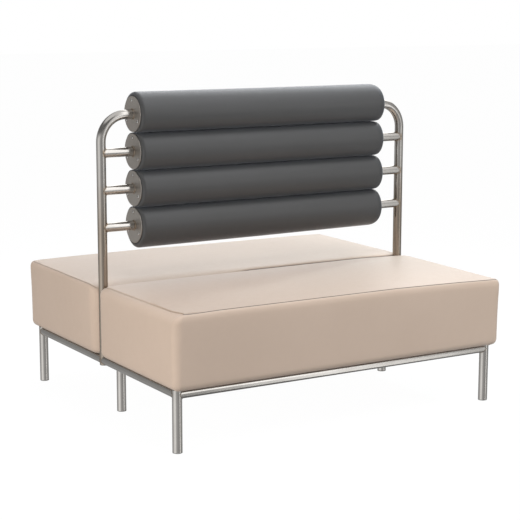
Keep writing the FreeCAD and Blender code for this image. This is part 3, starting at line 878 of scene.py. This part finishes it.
def outlinePoints(s, block):
    # Plan of the block with a radius for each corner: points, outward normals, the side's number from 0 to 4
    # as a running value with the corner turned into a smooth change, in order round the block
    a, outer, inner = s["half"], -s["outerY"], -s["innerY"]
    rounds = block["corners"]
    ends = [(-a, outer), (a, outer), (a, inner), (-a, inner)]
    outward = [(0, -1), (1, 0), (0, 1), (-1, 0)]
    places, normals, sides = [], [], []
    for k in range(4):
        p0, p1 = np.array(ends[k]), np.array(ends[(k + 1) % 4])
        length = np.linalg.norm(p1 - p0)
        along = (p1 - p0) / length
        out = np.array(outward[k], float)
        r0, r1 = rounds[k], rounds[(k + 1) % 4]
        steps = s["alongSteps"] if k % 2 == 0 else s["acrossSteps"]
        d = sideSamples(length, r0, r1, steps, s["cornerPull"])[:-1]
        arc0, arc1 = r0 * math.pi / 4, r1 * math.pi / 4
        straight = length - r0 - r1
        # angle between the normal and the side's own outward direction: negative before, positive after
        angle = np.where(d > arc0 + straight, (d - arc0 - straight) / r1, 0.0)
        angle = np.where(d < arc0, (d - arc0) / r0, angle)
        radius = np.where(d < arc0, r0, r1)
        normal = np.cos(angle)[:, None] * out + np.sin(angle)[:, None] * along
        base = p0 + along * (r0 + np.clip(d - arc0, 0, straight))[:, None]
        places.append(base + (normal - out) * radius[:, None])
        normals.append(normal)
        sides.append(k + math.sqrt(0.5) * np.sin(angle))
    return np.vstack(places), np.vstack(normals), np.concatenate(sides)


def aroundTable(values, sides):
    # A value for each side, changed smoothly through the corners, where sides runs on from k to k + 1
    near = np.round(sides).astype(int)
    rest = sides - near
    v = np.array(values)
    here = v[near % 4]
    after = v[(near + 1) % 4]
    before = v[(near - 1) % 4]
    return here + np.where(rest > 0, (after - here) * rest, (here - before) * rest)


def seamHeight(s, block, x, y):
    # Height of the top seam over the plan, blended from the outer to the inner table, less the roll into the
    # slit: depth times (1 - way / width) squared
    outerZ = np.interp(x, *block["outerSeam"])
    innerZ = np.interp(x, *block["innerSeam"])
    share = smooth(-y / s["outerY"])
    toRight = ease(x, *block["slitSpan"])
    width = block["slitWidth"][0] * (1 - toRight) + block["slitWidth"][1] * toRight
    depth = block["slitDepth"][0] * (1 - toRight) + block["slitDepth"][1] * toRight
    return outerZ * share + innerZ * (1 - share) - depth * np.clip(1 + y / width, 0, 1) ** 2


def blockSurface(s, block):
    # Rings from the hem out, up the side and over the edge to the seam, then a patch over the top.
    # Inset of a ring: hem width at the bottom, a quarter round outwards, the side leaning out to its widest
    # near the top, then a quarter of an ellipse in to the seam. The patch blends its four borders, and rises
    # from the seam as 1 - (1 - d / run) squared, taken across and along and multiplied.
    base, normal, sides = outlinePoints(s, block)
    # Near the outer left corner the seam lies further in, and its corner is pulled sideways
    nearCorner = np.hypot(base[:, 0] + s["half"], base[:, 1] + s["outerY"])
    nearCorner = np.exp(-((nearCorner / s["cornerReach"]) ** 2))
    inset = aroundTable(block["seamInset"], sides) + block["cornerInset"] * nearCorner
    # Right of the middle the slit's seam shows
    shown = np.clip(1 - 2 * np.abs(sides - 2), 0, 1) ** 0.3 * ease(base[:, 0], -0.12, -0.02)
    inset = inset + block["slitSeam"] * shown
    pull = nearCorner[:, None] * np.array(block["cornerShift"][:2])
    drop = aroundTable(block["edgeDrop"], sides)
    draw = aroundTable(block["draw"], sides)
    seam = base - normal * inset[:, None] + pull
    seamZ = seamHeight(s, block, seam[:, 0], seam[:, 1]) + block["cornerShift"][2] * nearCorner
    br = s["bottomRound"]
    rows = []

    def addRow(insets, heights, pulled=0.0):
        rows.append(np.column_stack([base - normal * insets[:, None] + pull * pulled, heights]))

    flat = np.ones(len(base))
    for d in np.linspace(s["hem"], br, 5)[:-1]:
        addRow(draw + d * flat, s["bottom"] * flat)
    for angle in np.linspace(0, np.pi / 2, 8):
        addRow(draw + br * (1 - np.sin(angle)) * flat, (s["bottom"] + br * (1 - np.cos(angle))) * flat)
    low = s["bottom"] + br
    for t in np.linspace(0, 1, 17)[1:]:
        lift = t * (2 - t)
        addRow(draw * (1 - smooth(t * 1.05)), low + (seamZ - drop - low) * (0.35 * t + 0.65 * lift))
    for angle in np.linspace(0, s["edgeTurn"], 11)[1:]:
        k = np.sin(angle) / math.sin(s["edgeTurn"])
        m = (1 - np.cos(angle)) / (1 - math.cos(s["edgeTurn"]))
        addRow(inset * m, seamZ - drop + (drop - 0.0010) * k, m)
    # Seam: down into the groove, then up to the top panel's edge
    w, g, lip = s["grooveWidth"], s["grooveDepth"], s["lip"]
    for out, step in ((0.25, -0.0008), (0.5, -0.0008 - g), (0.8, -0.0006 - g), (1.0, 0.4 * lip), (1.6, lip)):
        addRow(inset + out * w, seamZ + step, 1.0)
    rings = len(rows)
    count = len(base)
    ringPoints = np.vstack(rows)
    faces = [ringFaces(rings, count)]

    # Patch over the top: number table whose border is the last ring
    nx, ny = s["alongSteps"], s["acrossSteps"]
    last = (rings - 1) * count
    table = np.full((nx + 1, ny + 1), -1)
    table[:, 0] = last + np.arange(nx + 1)
    table[nx, :] = last + nx + np.arange(ny + 1)
    table[::-1, ny] = last + nx + ny + np.arange(nx + 1)
    table[0, ::-1] = last + (2 * nx + ny + np.arange(ny + 1)) % count
    inside = (nx - 1) * (ny - 1)
    table[1:nx, 1:ny] = rings * count + np.arange(inside).reshape(nx - 1, ny - 1)
    bottom, top = ringPoints[table[:, 0]][:, :2], ringPoints[table[:, ny]][:, :2]
    left, right = ringPoints[table[0, :]][:, :2], ringPoints[table[nx, :]][:, :2]
    xs = (bottom[:, 0] - bottom[0, 0]) / (bottom[-1, 0] - bottom[0, 0])
    ys = (left[:, 1] - left[0, 1]) / (left[-1, 1] - left[0, 1])
    u, v = xs[:, None, None], ys[None, :, None]
    plan = (
        (1 - v) * bottom[:, None] + v * top[:, None] + (1 - u) * left[None] + u * right[None]
        - (1 - u) * (1 - v) * bottom[0] - u * (1 - v) * bottom[-1] - (1 - u) * v * top[0] - u * v * top[-1]
    )
    x, y = plan[..., 0], plan[..., 1]
    a = s["half"]
    lift = np.exp(-((np.hypot(x + a, y + s["outerY"]) / s["cornerReach"]) ** 2)) * block["cornerShift"][2]
    edge = seamHeight(s, block, x, y) + lift
    dx = np.clip((a - 0.012 - np.abs(x)) / s["crownX"], 0, 1)
    dy = np.clip(np.minimum(-y - 0.010, y + s["outerY"] - 0.012) / s["crownY"], 0, 1)
    rise = (1 - (1 - dx) ** 2) * (1 - (1 - dy) ** 2)
    z = edge + lip + (s["top"] - 0.0010 - lip - edge) * rise
    patch = np.dstack([x, y, z])[1:nx, 1:ny].reshape(-1, 3)
    faces.append(gridFaces(table))
    points = np.vstack([ringPoints, patch])
    held = np.zeros(len(points))
    held[:count * s["heldBelow"]] = 1.0
    held[count * (rings - s["heldAbove"]):count * rings] = 1.0
    # The side in the slit stays where it is, beside the other block
    held[:count * rings] = np.maximum(held[:count * rings], np.tile(np.abs(sides - 2) < 0.5, rings))
    # Painted shade in the seam groove, by side, and along the slit's seam right of the middle
    paintedShade = np.zeros(len(points))
    dark = aroundTable(block["seamShadeStrength"], sides)
    dark = dark + (1 - dark) * shown * (block["slitSeam"] > 0)
    shades = np.concatenate([dark * k for k in (0.35, 1.0, 1.0, 0.9)])
    paintedShade[count * (rings - 5):count * (rings - 1)] = shades
    return points, np.vstack(faces), held, paintedShade


def clearPosts(s, points):
    # Points nearer than the room round an upright are moved out to it
    for side in (-1, 1):
        dx = points[:, 0] - side * s["postX"]
        dy = points[:, 1]
        d = np.hypot(dx, dy)
        near = d < s["postRoom"]
        scale = np.where(near, s["postRoom"] / np.maximum(d, 1e-6), 1.0)
        points[:, 0] = side * s["postX"] + dx * scale
        points[:, 1] = dy * scale
    return points


seatPuff = {
    "stretch": 30.0, "shear": 12.0, "bend": 3.0, "pressure": 4.0, "frames": 20,
    "mostUp": 0.0016,       # the top swells by this at most, the sides by the next
    "mostOut": 0.0012,
}


def addSeatPad(s, block):
    points, faces, held, paintedShade = blockSurface(s, block)
    moved = puff(block["name"], points, faces, held, seatPuff)
    up, out = np.abs(moved[:, 2]).max(), np.abs(moved[:, :2]).max()
    print(block["name"], "swelled", round(up * 1000, 2), "mm up and", round(out * 1000, 2), "mm out")
    moved[:, 2] *= min(seatPuff["mostUp"] / max(up, 1e-9), 1.0)
    moved[:, :2] *= min(seatPuff["mostOut"] / max(out, 1e-9), 1.0)
    points = points + moved
    points = clearPosts(s, points)
    if block["flip"] < 0:
        points[:, 1] *= -1
        faces = faces[:, ::-1]
    pad = addPiece(block["name"], points, faces, seatVinyl)
    addPaintedShade(pad, paintedShade)
    wall = pad.modifiers.new("wall", "SOLIDIFY")
    wall.thickness = s["wall"]
    wall.offset = -1.0
    side = "front" if block["flip"] > 0 else "back"
    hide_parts("seat_cover_" + side, "seat_foam_slab_" + side, "seat_foam_strips_" + side)
    print(block["name"], len(points), "points")


addSeatPad(seatSet, frontBlock)
addSeatPad(seatSet, backBlock)

# Backrest rolls

rollSet = {
    "half": 0.4906,
    "radius": 0.0725,
    "discRadius": 0.060,
    "pitch": 0.125,
    "lowest": 0.640,
    "contact": 0.0621,
    "shoulder": (0.012, 0.026),
    # how far the cover bulges past the disc at the right end of each roll, from the top one down
    "bulge": (0.007, 0.004, 0.003, 0.001),
    "aroundSteps": 128,
    "alongSteps": 150,
    # how far the lowest roll hangs down and the top one stands up, at the left, middle and right
    "sag": (0.0050, 0.0033, 0.0),
    "stand": (0.0016, 0.0, 0.0),
    "lift": 0.0015,             # how much higher the top two rolls meet than halfway between them
    "liftRun": 0.06,
    "endPull": 0.35,            # how far the points are drawn towards the ends
    "swell": (0.006, 0.012, 0.012, 0.006),
}


def rollSurface(s, number):
    # Radius along the roll: full in the middle, a quarter of an ellipse down to the disc at each end, then flat
    # in to the middle of the end. Where a neighbour presses, a soft limit holds the height at the contact plane:
    # limit times tanh((height / limit) to the 5th) to the power of 1/5.
    z0 = s["lowest"] + (4 - number) * s["pitch"]
    half, full, disc = s["half"], s["radius"], s["discRadius"]
    leftRun, rightRun = s["shoulder"]
    turn = np.linspace(0, np.pi / 2, 13)
    flatR = np.array([0.0, 0.25, 0.6, 0.93]) * disc
    endR = np.concatenate([flatR, disc + (full - disc) * np.sin(turn)])
    leftX = -half + np.concatenate([np.zeros(4), leftRun * (1 - np.cos(turn))])
    # At the right the quarter starts a bulge further out, and falls back to the disc
    bulge = s["bulge"][number - 1]
    rightRise = (rightRun + bulge) * (1 - np.cos(turn)) - bulge * smooth(turn * 4)
    rightX = half - np.concatenate([np.zeros(4), rightRise])
    t = np.linspace(0, 1, s["alongSteps"] + 1)[1:-1]
    run = leftX[-1], rightX[-1] - leftX[-1]
    middle = run[0] + run[1] * (t - s["endPull"] * np.sin(2 * np.pi * t) / (2 * np.pi))
    x = np.concatenate([leftX, middle, rightX[::-1]])
    r = np.concatenate([endR, np.full(len(middle), full), endR[::-1]])
    a = np.arange(s["aroundSteps"]) * 2 * np.pi / s["aroundSteps"]
    up = np.sin(a)[None, :] * r[:, None]
    out = np.cos(a)[None, :] * r[:, None]
    lift = s["lift"] * smooth((half - np.abs(x)) / s["liftRun"])[:, None]
    squashTop = s["contact"] + lift * (number == 2) if number > 1 else 1.0
    squashBottom = s["contact"] - lift * (number == 1) if number < 4 else 1.0
    limit = np.where(up > 0, squashTop, squashBottom)
    flat = limit * np.tanh((np.abs(up) / limit) ** 5) ** 0.2
    pressed = np.minimum(flat, np.abs(up))
    up2 = np.sign(up) * pressed
    # The free side of the lowest and of the top roll lies a little further out, more at one end
    ends = (-half, 0, half)
    if number == 4:
        up2 = np.where(up < 0, up2 * (1 + np.interp(x, ends, s["sag"]) / full)[:, None], up2)
    if number == 1:
        up2 = np.where(up > 0, up2 * (1 + np.interp(x, ends, s["stand"]) / full)[:, None], up2)
    # What the flats lose swells the front and back a little
    out2 = out * (1 + s["swell"][number - 1] * smooth(r / full)[:, None])
    points = np.dstack([np.repeat(x[:, None], len(a), 1), out2, z0 + up2]).reshape(-1, 3)
    faces = ringFaces(len(x), len(a))
    # The cover is tucked in behind the disc's rim, and painted shade darkens it in the gap there
    paintedShade = np.repeat(np.interp(r, (disc * 0.9, disc + 0.0012, disc + 0.0035), (0.8, 0.8, 0.0)), len(a))
    return points, faces, paintedShade


def closePoles(piece):
    # The ends' innermost rings have no radius: their points are merged into one
    bm = bmesh.new()
    bm.from_mesh(piece.data)
    bmesh.ops.remove_doubles(bm, verts=bm.verts, dist=1e-6)
    bmesh.ops.recalc_face_normals(bm, faces=bm.faces)
    bm.to_mesh(piece.data)
    bm.free()


def addRoll(s, number):
    points, faces, paintedShade = rollSurface(s, number)
    roll = addPiece("backRoll%d" % number, points, faces, rollVinyl)
    addPaintedShade(roll, paintedShade)
    closePoles(roll)
    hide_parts("roll_cover_%d" % number, "roll_foam_%d" % number)


for number in range(1, 5):
    addRoll(rollSet, number)
print("rolls ready")

# Weld beads

weldSet = {
    "bead": 0.0016,
    "ripples": 46,
    "ripple": 0.16,             # as a share of the bead
    "steps": 138,
    "sides": 8,
    "stub": 0.0159,
    "post": 0.016,
    "rail": 0.015,
    "discX": 0.494,
    "postX": 0.610,
    "legY": 0.5225,
    "railOffset": 0.0007,
    "railZ": 0.1877,
    "middleX": 0.548,
}


def beadRing(s, radius, offset, post):
    # Closed joint curve of a round tube along X on an upright tube round the Z axis: the tube's circle, and in
    # X the upright's surface over it. With post 0 the partner is flat. A ripple swells the bead along its way.
    t = np.linspace(0, 2 * np.pi, s["steps"], endpoint=False)
    y, z = radius * np.sin(t), radius * np.cos(t)
    x = np.sqrt(np.maximum(post ** 2 - (y + offset) ** 2, 0)) if post else 0 * t
    a = np.linspace(0, 2 * np.pi, s["sides"], endpoint=False)
    size = s["bead"] * (1 + s["ripple"] * np.cos(s["ripples"] * t))
    outward = size[:, None] * np.cos(a)
    points = np.dstack([
        x[:, None] + size[:, None] * np.sin(a),
        y[:, None] + outward * np.sin(t)[:, None],
        z[:, None] + outward * np.cos(t)[:, None],
    ])
    return points.reshape(-1, 3)


def beadFaces(s, first):
    index = first + np.arange(s["steps"] * s["sides"]).reshape(s["steps"], s["sides"])
    index = np.vstack([index, index[:1]])
    index = np.hstack([index, index[:, :1]])
    return np.stack([index[:-1, :-1], index[:-1, 1:], index[1:, 1:], index[1:, :-1]], -1).reshape(-1, 4)


def addWelds(s):
    rings = []
    flatRing = beadRing(s, s["stub"], 0, 0)
    topRing = beadRing(s, s["post"], 0, 0)
    stubRing = beadRing(s, s["stub"], 0, s["post"])
    for number in range(4):
        z = rollSet["lowest"] + number * rollSet["pitch"]
        rings.append((topRing if number == 3 else flatRing) + (-s["discX"], 0, z))
        if number < 3:
            rings.append(stubRing + (-s["postX"], 0, z))
    railRing = beadRing(s, s["rail"], -s["railOffset"], s["post"])
    rings.append(railRing + (-s["postX"], -s["legY"] - s["railOffset"], s["railZ"]))
    rings.append(railRing * (1, -1, 1) + (-s["postX"], s["legY"] + s["railOffset"], s["railZ"]))
    turnedRing = railRing[:, [1, 0, 2]]
    endX = -s["postX"] - s["railOffset"]
    for facing, y in ((1, -s["legY"]), (-1, 0), (1, 0), (-1, s["legY"])):
        rings.append(turnedRing * (1, facing, 1) + (endX, y, s["railZ"]))
    plainRing = beadRing(s, s["rail"], 0, s["post"])
    for facing, x in ((1, -s["postX"]), (-1, -s["middleX"]), (1, -s["middleX"])):
        rings.append(plainRing * (facing, 1, 1) + (x, 0, s["railZ"]))
    rings += [ring * (-1, 1, 1) for ring in rings]
    points = np.vstack(rings)
    size = s["steps"] * s["sides"]
    faces = np.vstack([beadFaces(s, k * size) for k in range(len(rings))])
    beads = addPiece("weldBeads", points, faces, steelPost)
    closePoles(beads)
    print("weld beads:", len(rings))


addWelds(weldSet)
